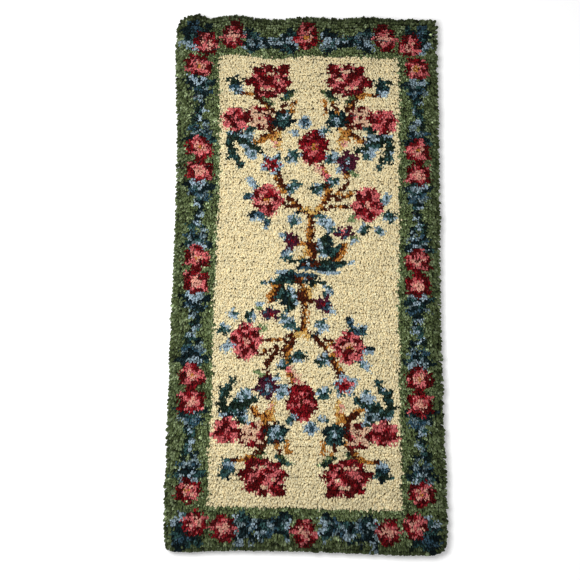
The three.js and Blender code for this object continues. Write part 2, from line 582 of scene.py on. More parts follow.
class Outline:
    """Where the canvas edge lies at any place along a side, and at its rounded corners."""

    def __init__(self):
        self.ring = canvas_outline()
        x, y = self.ring[:, 0], self.ring[:, 1]
        wide, tall = CANVAS_HIGH.x - CORNER_ROOM, CANVAS_HIGH.y - CORNER_ROOM
        self.left = edge_along(y, x, (abs(y) < tall) & (x < 0))
        self.right = edge_along(y, x, (abs(y) < tall) & (x > 0))
        self.near = edge_along(x, y, (abs(x) < wide) & (y < 0))
        self.far = edge_along(x, y, (abs(x) < wide) & (y > 0))
        self.left_rounded = edge_along(y, x, (abs(x) > wide) & (x < 0))
        self.right_rounded = edge_along(y, x, (abs(x) > wide) & (x > 0))
        self.near_rounded = edge_along(x, y, (abs(y) > tall) & (y < 0))
        self.far_rounded = edge_along(x, y, (abs(y) > tall) & (y > 0))

    def place(self, across, along):
        """The place at these shares of the width and the length, with the corners left square."""
        x = CANVAS_LOW.x + across * (CANVAS_HIGH.x - CANVAS_LOW.x)
        y = self.near(x) + along * (self.far(x) - self.near(x))
        x = self.left(y) + across * (self.right(y) - self.left(y))
        return x, y

    def knot_place(self, across, along):
        """The place of a knot: the knots draw in at the corners, and the columns wander."""
        x, y = self.place(across, along)
        wander = np.interp(y, *COLUMNS_WANDER) * (1 - (2 * across - 1) ** WANDER_FALL)
        drawn_x, drawn_y = x + wander, y
        sides = (self.left, self.left_rounded, CANVAS_LOW.x), (self.right, self.right_rounded, CANVAS_HIGH.x)
        for side, rounded, edge in sides:
            height = self.near(edge) + along * (self.far(edge) - self.near(edge))
            inward = rounded(height) - side(height)
            drawn_x = drawn_x + CORNER_SHARE * inward * np.exp(-abs(x - edge) / CORNER_FADE)
        ends = (self.near, self.near_rounded, CANVAS_LOW.y), (self.far, self.far_rounded, CANVAS_HIGH.y)
        for end, rounded, edge in ends:
            width = self.left(edge) + across * (self.right(edge) - self.left(edge))
            inward = rounded(width) - end(width)
            drawn_y = drawn_y + CORNER_SHARE * inward * np.exp(-abs(y - edge) / CORNER_FADE)
        return drawn_x, drawn_y

    def way_out(self, x, y):
        """How far each of these places lies from the edge, and the direction out to it."""
        samples, outward = [], []
        for start, end in zip(self.ring, np.roll(self.ring, -1, axis=0)):
            side = end - start
            run = np.linalg.norm(side)
            shares = (np.arange(math.ceil(run / EDGE_STEP)) + 0.5) / math.ceil(run / EDGE_STEP)
            samples.append(start + shares[:, None] * side)
            outward.append(np.tile((side[1] / run, -side[0] / run), (len(shares), 1)))
        samples, outward = np.concatenate(samples), np.concatenate(outward)
        apart = np.hypot(x[:, None] - samples[:, 0], y[:, None] - samples[:, 1])
        nearest = apart.min(1)
        weight = np.exp(-(apart - nearest[:, None]) / EDGE_BLEND)
        out = weight @ outward
        return nearest, out / np.maximum(np.linalg.norm(out, axis=1, keepdims=True), TINY)


def smooth_waves(knots, rng, longest, shortest, count):
    """A slow, even wandering of the knots over the rug, about -1 to 1."""
    total = np.zeros((len(knots.x), 1))
    for _ in range(count):
        heading = rng.uniform(0, 2 * math.pi)
        wave = rng.uniform(shortest, longest)
        phase = rng.uniform(0, 2 * math.pi)
        run = knots.x * math.cos(heading) + knots.y * math.sin(heading)
        total[:, 0] += np.sin(2 * math.pi * run / wave + phase)
    return total / math.sqrt(count)


def knot_places(outline):
    """Row, column and place of each knot."""
    rows, columns = np.mgrid[0:KNOTS_ALONG, 0:KNOTS_ACROSS]
    rows, columns = rows.ravel(), columns.ravel()
    across = (columns + 0.5) / KNOTS_ACROSS
    along = (KNOTS_ALONG - rows - 0.5) / KNOTS_ALONG
    return rows, columns, *outline.knot_place(across, along)


# --- One shape repeated many times ---


class Form:
    """A closed shape to repeat: rings of corners round an upright axis, and a point at each end."""

    def __init__(self, bm, sides, ring_count):
        co = np.array([v.co[:] for v in bm.verts])
        reach = np.hypot(co[:, 0], co[:, 1])
        self.on_ring = reach > reach.max() / 2
        turn = np.arctan2(co[:, 1], co[:, 0]) / (2 * math.pi) * sides
        self.side = np.rint(turn - turn[self.on_ring][0]).astype(int) % sides
        self.ring = np.rint(co[:, 2] * (ring_count - 1)).astype(int)
        self.low_end = ~self.on_ring & (co[:, 2] < 0.5)
        self.high_end = ~self.on_ring & (co[:, 2] >= 0.5)
        self.turn = self.side / sides * 2 * math.pi
        corners, starts, around = [], [], []
        for face in bm.faces:
            starts.append(len(corners))
            indices = [v.index for v in face.verts]
            corners += indices
            around += self.unrolled(indices, sides)
        self.corners = np.array(corners)
        self.starts = np.array(starts)
        self.around = np.array(around)

    def unrolled(self, indices, sides):
        """How far round each corner of a face lies, 0 to 1, with no jump inside the face."""
        turns = {i: self.side[i] for i in indices if self.on_ring[i]}
        if max(turns.values()) - min(turns.values()) > sides / 2:
            turns = {i: side or sides for i, side in turns.items()}
        middle = sum(turns.values()) / len(turns)
        return [turns.get(i, middle) / sides for i in indices]

    def spread(self, ring_values, low=0.0, high=1.0):
        """A value for each corner, from one for each ring and one for each end."""
        values = np.array(ring_values, float)[self.ring]
        values[self.low_end] = low
        values[self.high_end] = high
        return values


def form_of(bm, sides, ring_count=1):
    """The form of a shape that has just been built."""
    bmesh.ops.recalc_face_normals(bm, faces=bm.faces)
    bm.verts.index_update()
    form = Form(bm, sides, ring_count)
    bm.free()
    return form


def column_form(sides, ring_count):
    """A straight column with a fan of faces at each end."""
    bm = bmesh.new()
    raised = Matrix.Translation((0, 0, 0.5))
    bmesh.ops.create_cone(
        bm, cap_ends=True, cap_tris=True, segments=sides, radius1=1, radius2=1, depth=1, matrix=raised
    )
    for ring in range(1, ring_count - 1):
        height = ring / (ring_count - 1)
        whole = bm.verts[:] + bm.edges[:] + bm.faces[:]
        bmesh.ops.bisect_plane(bm, geom=whole, plane_co=(0, 0, height), plane_no=(0, 0, 1))
    return form_of(bm, sides, ring_count)


def grain_form(sides):
    """A grain that is pointed at both ends."""
    bm = bmesh.new()
    raised = Matrix.Translation((0, 0, 0.5))
    bmesh.ops.create_uvsphere(bm, u_segments=sides, v_segments=2, radius=0.5, matrix=raised)
    return form_of(bm, sides)


class Copies:
    """Copies of one form: a place and a colour for each corner of each, and how far along it is."""

    def __init__(self, form, along, points, colours):
        self.form = form
        self.points = points
        self.colours = colours
        self.count = len(points)
        self.corner_along = np.broadcast_to(along[form.corners], (self.count, len(form.corners)))
        self.corner_around = np.broadcast_to(form.around, self.corner_along.shape)


CELL_MARGIN = 0.07


def cell_map(batches):
    """A square map with a cell for each copy, so that no two copies share a place."""
    cells_across = math.ceil(math.sqrt(sum(b.count for b in batches)))
    places, first = [], 0
    for batch in batches:
        cell = first + np.arange(batch.count)[:, None]
        u = CELL_MARGIN + (1 - 2 * CELL_MARGIN) * batch.corner_around
        v = CELL_MARGIN + (1 - 2 * CELL_MARGIN) * batch.corner_along
        places.append(np.stack([cell % cells_across + u, cell // cells_across + v], -1) / cells_across)
        first += batch.count
    return places


def wrap_map(batches):
    """A map that runs once round each copy and once along it, for the twist of the ply."""
    return [np.stack([b.corner_around, b.corner_along], -1) for b in batches]


def joined_mesh(name, batches):
    """One mesh of all the copies, with its maps and its colours, painted light included."""
    points = np.concatenate([b.points.reshape(-1, 3) for b in batches])
    colours = np.concatenate([b.colours.reshape(-1, 3) for b in batches])
    corners, starts, first_point, first_corner = [], [], 0, 0
    for batch in batches:
        copy = np.arange(batch.count)[:, None]
        points_each, corners_each = batch.points.shape[1], len(batch.form.corners)
        corners.append((batch.form.corners + first_point + points_each * copy).ravel())
        starts.append((batch.form.starts + first_corner + corners_each * copy).ravel())
        first_point += points_each * batch.count
        first_corner += corners_each * batch.count
    corners, starts = np.concatenate(corners), np.concatenate(starts)
    mesh = bpy.data.meshes.new(name)
    mesh.vertices.add(len(points))
    mesh.vertices.foreach_set("co", points.astype(np.float32).ravel())
    mesh.loops.add(len(corners))
    mesh.loops.foreach_set("vertex_index", corners.astype(np.int32))
    mesh.polygons.add(len(starts))
    mesh.polygons.foreach_set("loop_start", starts.astype(np.int32))
    mesh.update(calc_edges=True)
    for map_name, places in (("OFBake", cell_map(batches)), (PLY_MAP, wrap_map(batches))):
        layer = mesh.uv_layers.new(name=map_name)
        flat = np.concatenate([p.reshape(-1, 2) for p in places])
        layer.data.foreach_set("uv", flat.astype(np.float32).ravel())
    layer = mesh.color_attributes.new(name=COLOUR_WITH_PAINTED_LIGHT, type="FLOAT_COLOR", domain="POINT")
    opaque = np.concatenate([colours, np.ones((len(colours), 1))], axis=1)
    layer.data.foreach_set("color", opaque.astype(np.float32).ravel())
    mesh.shade_smooth()
    piece = bpy.data.objects.new(name, mesh)
    bpy.context.scene.collection.objects.link(piece)
    return piece


def bent_points(form, along, width, start, middle, end, first_turn, twist):
    """Copies of a form, each bent along the curve that leaves start towards middle and ends at end."""
    t = along[None, :, None]
    start, middle, end = start[:, None], middle[:, None], end[:, None]
    line = (1 - t) ** 2 * start + 2 * (1 - t) * t * middle + t**2 * end
    heading = 2 * (1 - t) * (middle - start) + 2 * t * (end - middle)
    heading /= np.linalg.norm(heading, axis=2, keepdims=True)
    aside = np.cross((0.0, 0.0, 1.0), end - start)
    aside /= np.maximum(np.linalg.norm(aside, axis=2, keepdims=True), TINY)
    inward = np.cross(aside, heading)
    turn = (form.turn + twist * along + first_turn[:, None])[:, :, None]
    return line + width[:, :, None] * (np.cos(turn) * inward + np.sin(turn) * aside)


# --- Finishes ---

# The colour attribute: each strand's dyed colour with its painted shade and painted highlight.
COLOUR_WITH_PAINTED_LIGHT = "yarn_colour"
PLY_MAP = "ply"
PLIES = 3
WHITE = (1, 1, 1, 1)
FLOOR_GREYS = ((0.93, 0.93, 0.93, 1), (0.95, 0.95, 0.95, 1))
FLOOR_PAINTED_GLOW = 0.2  # painted light: the floor glows beyond the rug, so that the rug's shadow stays faint


class Nodes:
    """Short calls for building one material's nodes."""

    def __init__(self, name):
        self.material = bpy.data.materials.new(name)
        self.material.use_nodes = True
        self.tree = self.material.node_tree

    def feed(self, node, sockets):
        """Links each of these sockets of a node to what feeds it, or sets it to its value."""
        for name, value in sockets.items():
            if isinstance(value, bpy.types.NodeSocket):
                self.tree.links.new(value, node.inputs[name])
            else:
                node.inputs[name].default_value = value
        return node

    def finished(self, **sockets):
        """The material, once these sockets of its shader are fed."""
        shader = self.tree.nodes["Principled BSDF"]
        self.feed(shader, {name.replace("_", " "): value for name, value in sockets.items()})
        return self.material

    def add(self, kind, sockets=None, **settings):
        node = self.tree.nodes.new(kind)
        for name, value in settings.items():
            setattr(node, name, value)
        return self.feed(node, sockets or {})

    def math(self, operation, *numbers):
        return self.add("ShaderNodeMath", dict(enumerate(numbers)), operation=operation).outputs[0]

    def object_place(self):
        return self.add("ShaderNodeTexCoord").outputs["Object"]

    def noise(self, scale, detail):
        sockets = {"Vector": self.object_place(), "Scale": scale, "Detail": detail}
        return self.add("ShaderNodeTexNoise", sockets).outputs["Fac"]

    def mix(self, share, first, second, blend="MIX"):
        node = self.add("ShaderNodeMix", data_type="RGBA", blend_type=blend)
        return self.feed(node, {"Factor": share, "A": first, "B": second}).outputs["Result"]

    def remap(self, value, low, high):
        sockets = {"Value": value, "To Min": low, "To Max": high}
        return self.add("ShaderNodeMapRange", sockets).outputs["Result"]

    def bump(self, height, strength, distance, under=None):
        sockets = {"Height": height, "Strength": strength, "Distance": distance}
        if under is not None:
            sockets["Normal"] = under
        return self.add("ShaderNodeBump", sockets).outputs["Normal"]

    def dyed_with_painted_light(self, shade):
        """Each strand's colour, painted light included, made darker or lighter by this shade."""
        dye_with_painted_light = self.add("ShaderNodeAttribute", attribute_name=COLOUR_WITH_PAINTED_LIGHT).outputs["Color"]
        return self.mix(1.0, dye_with_painted_light, shade, "MULTIPLY")

    def ply_grooves(self, turns_along):
        """1 on the back of each ply and 0 in the groove between two, winding round the strand."""
        place = self.add("ShaderNodeUVMap", uv_map=PLY_MAP).outputs["UV"]
        around, along = self.add("ShaderNodeSeparateXYZ", {"Vector": place}).outputs[:2]
        wound = self.math("MULTIPLY_ADD", along, turns_along, around)
        wave = self.math("SINE", self.math("MULTIPLY", wound, 2 * math.pi * PLIES))
        return self.math("MULTIPLY_ADD", wave, 0.5, 0.5)


def wool_material():
    """Carded wool: matt and fibrous, with a soft sheen, its plies opening at the cut."""
    if "wool" in bpy.data.materials:
        return bpy.data.materials["wool"]
    nodes = Nodes("wool")
    fibres = nodes.noise(scale=1400, detail=3)
    uneven_dye = nodes.noise(scale=90, detail=2)
    flecks = nodes.noise(scale=330, detail=3)
    shade = nodes.math("MULTIPLY", nodes.remap(fibres, 0.72, 1.25), nodes.remap(flecks, 0.45, 1.5))
    shade = nodes.math("MULTIPLY", shade, nodes.remap(uneven_dye, 0.88, 1.12))
    grooves = nodes.bump(nodes.ply_grooves(turns_along=1.2), strength=0.6, distance=0.6 * MM)
    return nodes.finished(
        Base_Color=nodes.dyed_with_painted_light(shade),
        Roughness=nodes.remap(fibres, 0.8, 0.98),
        Specular_IOR_Level=0.06,
        Sheen_Weight=0.03,
        Sheen_Roughness=0.5,
        Normal=nodes.bump(fibres, strength=0.5, distance=0.4 * MM, under=grooves),
    )


def cotton_material():
    """Sized cotton thread: pale, a little glossy with starch, and tightly twisted."""
    nodes = Nodes("sized cotton")
    lint = nodes.noise(scale=700, detail=4)
    stains = nodes.noise(scale=14, detail=2)
    shade = nodes.math("MULTIPLY", nodes.remap(lint, 0.8, 1.15), nodes.remap(stains, 0.9, 1.06))
    twist = nodes.bump(nodes.ply_grooves(turns_along=60.0), strength=0.5, distance=0.3 * MM)
    return nodes.finished(
        Base_Color=nodes.dyed_with_painted_light(shade),
        Roughness=nodes.remap(lint, 0.6, 0.85),
        Specular_IOR_Level=0.3,
        Normal=nodes.bump(lint, strength=0.4, distance=0.2 * MM, under=twist),
    )


def floor_material():
    """A pale matt floor that glows a little round the rug, as painted light."""
    nodes = Nodes("pale floor")
    right, far = nodes.add("ShaderNodeSeparateXYZ", {"Vector": nodes.object_place()}).outputs[:2]
    beside = nodes.math("GREATER_THAN", nodes.math("ABSOLUTE", right), CANVAS_HIGH.x)
    beyond = nodes.math("GREATER_THAN", nodes.math("ABSOLUTE", far), CANVAS_HIGH.y)
    return nodes.finished(
        Base_Color=nodes.mix(nodes.noise(scale=3, detail=2), *FLOOR_GREYS),
        Roughness=0.9,
        Specular_IOR_Level=0.1,
        # Painted light: the floor glows beyond the rug.
        Emission_Color=WHITE,
        Emission_Strength=nodes.math("MULTIPLY", nodes.math("MAXIMUM", beside, beyond), FLOOR_PAINTED_GLOW),
    )


# --- The pile ---

KNOT_Z = PILE_LOW.z - 0.1 * MM

# How far along a strand each of its rings lies, and its thickness there. The strands of the two
# outer rounds of knots, which bend over the edge, have more rings.
STRAND_MAKES = {
    "inner": ((0.44, 0.88), (1.00, 0.74)),
    "second": ((0.36, 0.66, 0.90), (0.90, 1.00, 0.74)),
    "outer": ((0.22, 0.46, 0.72, 0.92), (0.90, 1.00, 1.00, 0.76)),
}
STRAND_SIDES = 3

# A knot has two legs side by side, and each leg's three plies part towards the tip.
LEG = np.array((-1.0, -1.0, -1.0, 1.0, 1.0, 1.0))
PLY_X = np.array((-1.0, 0.0, 1.0, -1.0, 0.0, 1.0))
PLY_Y = np.array((-1.0, 1.0, -1.0, 1.0, -1.0, 1.0))
LEG_APART = 1.5 * MM
PLY_APART = 0.5 * MM
LEG_TIP_APART = 0.5 * MM
PLY_TIP_APART_X = 0.8 * MM
PLY_TIP_APART_Y = 1.4 * MM

# The share of the strands that have strayed over from the next column, and from the next row.
MINGLED_ACROSS = 0.16
MINGLED_ALONG = 0.07

# How far the hand's work strays from even: knots, roots, tips, lengths, leans and thicknesses.
KNOT_STRAY = 0.5 * MM
ROOT_STRAY = 0.15 * MM
TIP_STRAY = 0.85 * MM
RIM_STRAY = 0.7 * MM
LENGTH_SWELL = 0.025
LENGTH_STRAY = 0.03
LEAN_SWAY = math.radians(3)
LEAN_STRAY = math.radians(2)
HEADING_VEER = math.radians(8)
HEADING_STRAY = math.radians(10)
RADIUS_STRAY = 0.05
ROW_RIPPLE = math.radians(2.5)
RIPPLE_SHORTEST, RIPPLE_LONGEST = 0.15, 0.5

# A strand rises before it bends: where its curve is drawn to, as shares of its reach and height.
BEND_OUT = 0.15
BEND_UP = 0.6
STRAND_TWIST = math.radians(80)

# The shades of the dye: from knot to knot and strand to strand, as shares of the yarn's own
# straying, and the strands' warmth. No yarn is brighter than the brightest.
KNOT_SHADE = 0.7
STRAND_SHADE = 0.95
WARMTH = 0.02
WARMTH_OUT_OF_BLUE = 1.5
BRIGHTEST = 0.95

# Painted light along a strand: painted shade at its root, among the other strands, up to a
# painted highlight at its tip. A dark yarn follows this fully and more, a pale one hardly, as if
# light spread through pale wool.
PAINTED_LIGHT_ALONG = ((0, 0.34, 0.62, 0.90, 1), (0.32, 0.40, 0.52, 0.88, 1.35))
PAINTED_SHADE_POWER_DARK = 2.6
PAINTED_SHADE_EASING_PALE = 3.0
PAINTED_SHADE_POWER_LEAST = 0.1

# The strands near the edge lean out over it, each knot's own strands fanned, and those near the
# far end aren't laid over as far as the rest. The lighter strands are greyed, partly as wear and
# partly as painted sheen. Painted shade darkens the outer strands, less on the left and more at
# the far end, and both ends of the rug.
RIM_FADE = 15 * MM
RIM_FAN = 0.30
RIM_THICKEN = 0.30
CORNER_THICKEN = 0.35
RIM_LIMIT = 0.66
FAR_FADE = 20 * MM
# Lighter strands greyed, partly as wear and partly as painted sheen.
WEAR_AND_SHEEN_GREY = 0.3
# Painted shade at the rim, less on the left and more at the far end, and at the two ends.
RIM_PAINTED_SHADE = 0.60
RIM_PAINTED_SHADE_LEFT = -0.30
RIM_PAINTED_SHADE_FAR = 0.25
RIM_PAINTED_SHADE_FADE = 18 * MM
NEAR_PAINTED_SHADE = 0.20
FAR_PAINTED_SHADE = 0.12
END_PAINTED_SHADE_FALL = 4  # the higher, the nearer the end before the painted shade is lost


class Knots:
    """Every knot of the rug: its place, its yarn, and how far it lies from the edge."""

    def __init__(self, sizes):
        outline = Outline()
        self.row, self.column, x, y = knot_places(outline)
        self.design = knotted_design()
        rng = np.random.default_rng(sizes.seed)
        self.x = x + rng.normal(0, KNOT_STRAY, len(x))
        self.y = y + rng.normal(0, KNOT_STRAY, len(y))
        self.to_far = outline.far(self.x) - self.y
        self.to_edge, self.way_out = outline.way_out(self.x, self.y)
        self.round = np.minimum(
            np.minimum(self.row, KNOTS_ALONG - 1 - self.row),
            np.minimum(self.column, KNOTS_ACROSS - 1 - self.column),
        )

    def painted_shade(self):
        """How much painted shade darkens each knot: the rim most, except on the left, and then the two ends.
        """
        by_side = 1 + RIM_PAINTED_SHADE_LEFT * np.maximum(-self.way_out[:, 0], 0)
        by_side = by_side + RIM_PAINTED_SHADE_FAR * np.maximum(self.way_out[:, 1], 0)
        end = abs(self.y / PILE_HIGH.y) ** END_PAINTED_SHADE_FALL * np.where(self.y < 0, NEAR_PAINTED_SHADE, FAR_PAINTED_SHADE)
        return RIM_PAINTED_SHADE * by_side * np.exp(-self.to_edge / RIM_PAINTED_SHADE_FADE) + end

    def own_yarns(self):
        """The yarn of each knot, as one strand a knot."""
        return self.design[self.row, self.column][:, None]

    def mingled_yarns(self, rng):
        """The yarns of each knot's strands, a few of them strayed over from the knots beside it."""
        shape = (len(self.x), STRANDS_A_KNOT)
        across = LEG * (rng.random(shape) < MINGLED_ACROSS)
        along = PLY_Y * (rng.random(shape) < MINGLED_ALONG)
        row = np.clip(self.row[:, None] - along, 0, KNOTS_ALONG - 1).astype(int)
        column = np.clip(self.column[:, None] + across, 0, KNOTS_ACROSS - 1).astype(int)
        return self.design[row, column]

    def dye_with_painted_light(self, yarns, colours, rng):
        """A colour for each of these strands, each a shade off the next, with painted shade at the rim and
        the ends, and the lighter ones greyed, partly as wear and partly as painted sheen.
        """
        base = np.zeros((*yarns.shape, 3))
        stray = np.zeros(yarns.shape)
        for key, (name, spread) in YARNS.items():
            base[yarns == key] = getattr(colours, name)[:]
            stray[yarns == key] = spread
        shade = np.exp(rng.normal(0, 1, (len(stray), 1)) * stray * KNOT_SHADE)
        shade = shade * np.exp(rng.normal(0, 1, stray.shape) * stray * STRAND_SHADE)
        warmth = rng.normal(0, WARMTH, stray.shape)
        tint = np.stack([1 + warmth, np.ones_like(warmth), 1 - WARMTH_OUT_OF_BLUE * warmth], -1)
        # Lighter strands greyed, partly as wear and partly as painted sheen.
        wear_and_sheen = WEAR_AND_SHEEN_GREY * np.clip(shade - 1, 0, 1)[:, :, None]
        # Painted shade: the rim and both ends are darkened.
        shade *= 1 - self.painted_shade()[:, None]
        dyed_with_painted_light = base * shade[:, :, None] * tint
        dyed_with_painted_light += wear_and_sheen * (dyed_with_painted_light.mean(2, keepdims=True) - dyed_with_painted_light)
        return np.clip(dyed_with_painted_light, 0, BRIGHTEST)


def row_ripple(knots, rng):
    """A slow wave along each row that its neighbours don't share, -1 to 1."""
    wave = rng.uniform(RIPPLE_SHORTEST, RIPPLE_LONGEST, KNOTS_ALONG)[knots.row]
    phase = rng.uniform(0, 2 * math.pi, KNOTS_ALONG)[knots.row]
    return np.sin(2 * math.pi * knots.x / wave + phase)


def strands_of(knots, sizes, colours, rng):
    """Start, middle, end, thickness and colour of each strand of these knots."""
    shape = (len(knots.x), STRANDS_A_KNOT)
    swell = smooth_waves(knots, rng, longest=0.5, shortest=0.08, count=6)
    length = sizes.strand_length * (1 + LENGTH_SWELL * swell + rng.normal(0, LENGTH_STRAY, shape))
    start_x = knots.x[:, None] + LEG * LEG_APART + PLY_X * PLY_APART + rng.normal(0, ROOT_STRAY, shape)
    start_y = knots.y[:, None] + PLY_Y * PLY_APART + rng.normal(0, ROOT_STRAY, shape)
    sway = smooth_waves(knots, rng, longest=0.3, shortest=0.05, count=8)
    veer = smooth_waves(knots, rng, longest=0.3, shortest=0.05, count=8)
    lean = sizes.lean + LEAN_SWAY * sway + ROW_RIPPLE * row_ripple(knots, rng)[:, None]
    lean = lean + rng.normal(0, LEAN_STRAY, shape)
    heading = HEADING_VEER * veer + rng.normal(0, HEADING_STRAY, shape)
    laid = length * np.sin(lean) * (1 - np.exp(-knots.to_far / FAR_FADE)[:, None])
    nearness = np.exp(-knots.to_edge / RIM_FADE)[:, None]
    out_side, out_end = knots.way_out[:, :1], knots.way_out[:, 1:]
    rim, fan = sizes.rim_reach * nearness, 1 + RIM_FAN * (out_side * LEG + out_end * PLY_Y)
    apart_x = LEG * LEG_TIP_APART + PLY_X * PLY_TIP_APART_X
    out_x = laid * np.sin(heading) + apart_x + rim * out_side * fan
    out_y = -laid * np.cos(heading) + PLY_Y * PLY_TIP_APART_Y + rim * out_end * fan
    stray = TIP_STRAY + RIM_STRAY * nearness
    out_x = out_x + stray * rng.normal(0, 1, shape)
    out_y = out_y + stray * rng.normal(0, 1, shape)
    total = np.hypot(out_x, out_y)
    scale = np.minimum(1, RIM_LIMIT * length / total)
    out_x, out_y, total = out_x * scale, out_y * scale, total * scale
    rise = np.sqrt(length**2 - total**2)
    start = np.stack([start_x, start_y, np.full_like(rise, KNOT_Z)], -1)
    end = start + np.stack([out_x, out_y, rise], -1)
    middle = start + np.stack([BEND_OUT * out_x, BEND_OUT * out_y, BEND_UP * rise], -1)
    aslant = 2 * abs(out_side * out_end)
    thicken = nearness * (RIM_THICKEN + CORNER_THICKEN * aslant)
    thickness = sizes.strand_radius * (1 + thicken + rng.normal(0, RADIUS_STRAY, shape))
    dyed_with_painted_light = knots.dye_with_painted_light(knots.mingled_yarns(rng), colours, rng)
    return start, middle, end, thickness, dyed_with_painted_light


def strand_batch(make, chosen, strands, rng):
    """The chosen knots' strands as copies of one make of strand."""
    rings, widths = STRAND_MAKES[make]
    form = column_form(STRAND_SIDES, len(rings))
    along = form.spread(rings)
    start, middle, end, thickness, dyed_with_painted_light = (part[chosen].reshape(-1, *part.shape[2:]) for part in strands)
    width = thickness[:, None] * form.spread(widths, 0, 0)
    first_turn = rng.uniform(0, 2 * math.pi, len(start))
    points = bent_points(form, along, width, start, middle, end, first_turn, STRAND_TWIST)
    # Painted light: painted shade towards the root and a painted highlight at the tip, eased for pale yarns.
    light = np.interp(along, *PAINTED_LIGHT_ALONG)
    paleness = np.sqrt(dyed_with_painted_light.mean(1, keepdims=True))
    painted_shade_power = np.maximum(PAINTED_SHADE_POWER_DARK - PAINTED_SHADE_EASING_PALE * paleness, PAINTED_SHADE_POWER_LEAST)
    colours = dyed_with_painted_light[:, None, :] * (light**painted_shade_power)[:, :, None]
    return Copies(form, along, points, np.clip(colours, 0, BRIGHTEST))


def pile_strips(sizes, colours):
    """The pile, in strips that run the length of the rug."""
    knots = Knots(sizes)
    rng = np.random.default_rng(sizes.seed + 1)
    strands = strands_of(knots, sizes, colours, rng)
    rounds = {"outer": knots.round == 0, "second": knots.round == 1, "inner": knots.round > 1}
    strips = []
    for number in range(STRIPS):
        in_strip = knots.column // (KNOTS_ACROSS // STRIPS) == number
        batches = [strand_batch(make, in_strip & these, strands, rng) for make, these in rounds.items()]
        strip = joined_mesh(f"pile_strip_{number + 1}", batches)
        strip.data.materials.append(wool_material())
        strips.append(strip)
    return strips


# A knot's loop under the canvas: a short straight grain of yarn across the column.
LOOP_SIDES = 4
LOOP_HALF = 3.4 * MM
LOOP_TILT = 0.5 * MM
LOOP_Z = 1.3 * MM
LOOP_RADIUS = 1.05 * MM
LOOP_RADIUS_STRAY = 0.05 * MM
# Painted shade: the loops under the canvas are darkened.
LOOP_PAINTED_SHADE = 0.9


def knot_loops(sizes, colours):
    """The yarn of each knot where it passes under the canvas."""
    knots = Knots(sizes)
    rng = np.random.default_rng(sizes.seed + 2)
    count = len(knots.x)
    form = grain_form(LOOP_SIDES)
    along = form.spread([0.5])
    tilt = rng.normal(0, LOOP_TILT, count)
    height = np.full(count, LOOP_Z)
    start = np.stack([knots.x - LOOP_HALF, knots.y - tilt, height], -1)
    end = np.stack([knots.x + LOOP_HALF, knots.y + tilt, height], -1)
    radius = LOOP_RADIUS + rng.normal(0, LOOP_RADIUS_STRAY, (count, 1))
    width = np.where(form.on_ring, radius, 0.0)
    points = bent_points(form, along, width, start, (start + end) / 2, end, np.zeros(count), 0.0)
    dyed_with_painted_light = knots.dye_with_painted_light(knots.own_yarns(), colours, rng)
    loops = Copies(form, along, points, np.broadcast_to(dyed_with_painted_light, points.shape) * LOOP_PAINTED_SHADE)
    piece = joined_mesh("knot_loops", [loops])
    piece.data.materials.append(wool_material())
    return piece


# --- The canvas ---

THREAD_SIDES = 5
THREAD_SPANS = 6
THREAD_CLEAR = 0.1 * MM  # from the top of the canvas down to the threads
HEM_CLEAR = 0.25 * MM  # from the floor up to the hem's threads
WARP_DROPS = (0.3 * MM, 0.5 * MM)  # how far below the wefts each thread of a pair runs
WEFT_SHORT, WARP_SHORT = 0.002, 0.001  # how far from the edge they end, as shares of the way over
EDGE_WEFT, EDGE_WARP = 0.2, 0.15  # where the outermost threads lie, in knots from the edge
HEM_WEFT, HEM_WARP = 0.4, 0.45  # where the hem's outermost threads lie
# Painted shade: the warps, which run under the wefts, are a little darker.
WARP_PAINTED_SHADE = 0.96


def thread_points(form, radius, line, across_axes):
    """Threads along these lines, with their round section in the plane of two axes."""
    first, second = (np.array(axis, float) for axis in across_axes)
    turn = form.turn[None, :, None]
    ring = np.where(form.on_ring, radius, 0.0)[None, :, None]
    return np.stack(line, -1) + ring * (np.cos(turn) * first + np.sin(turn) * second)


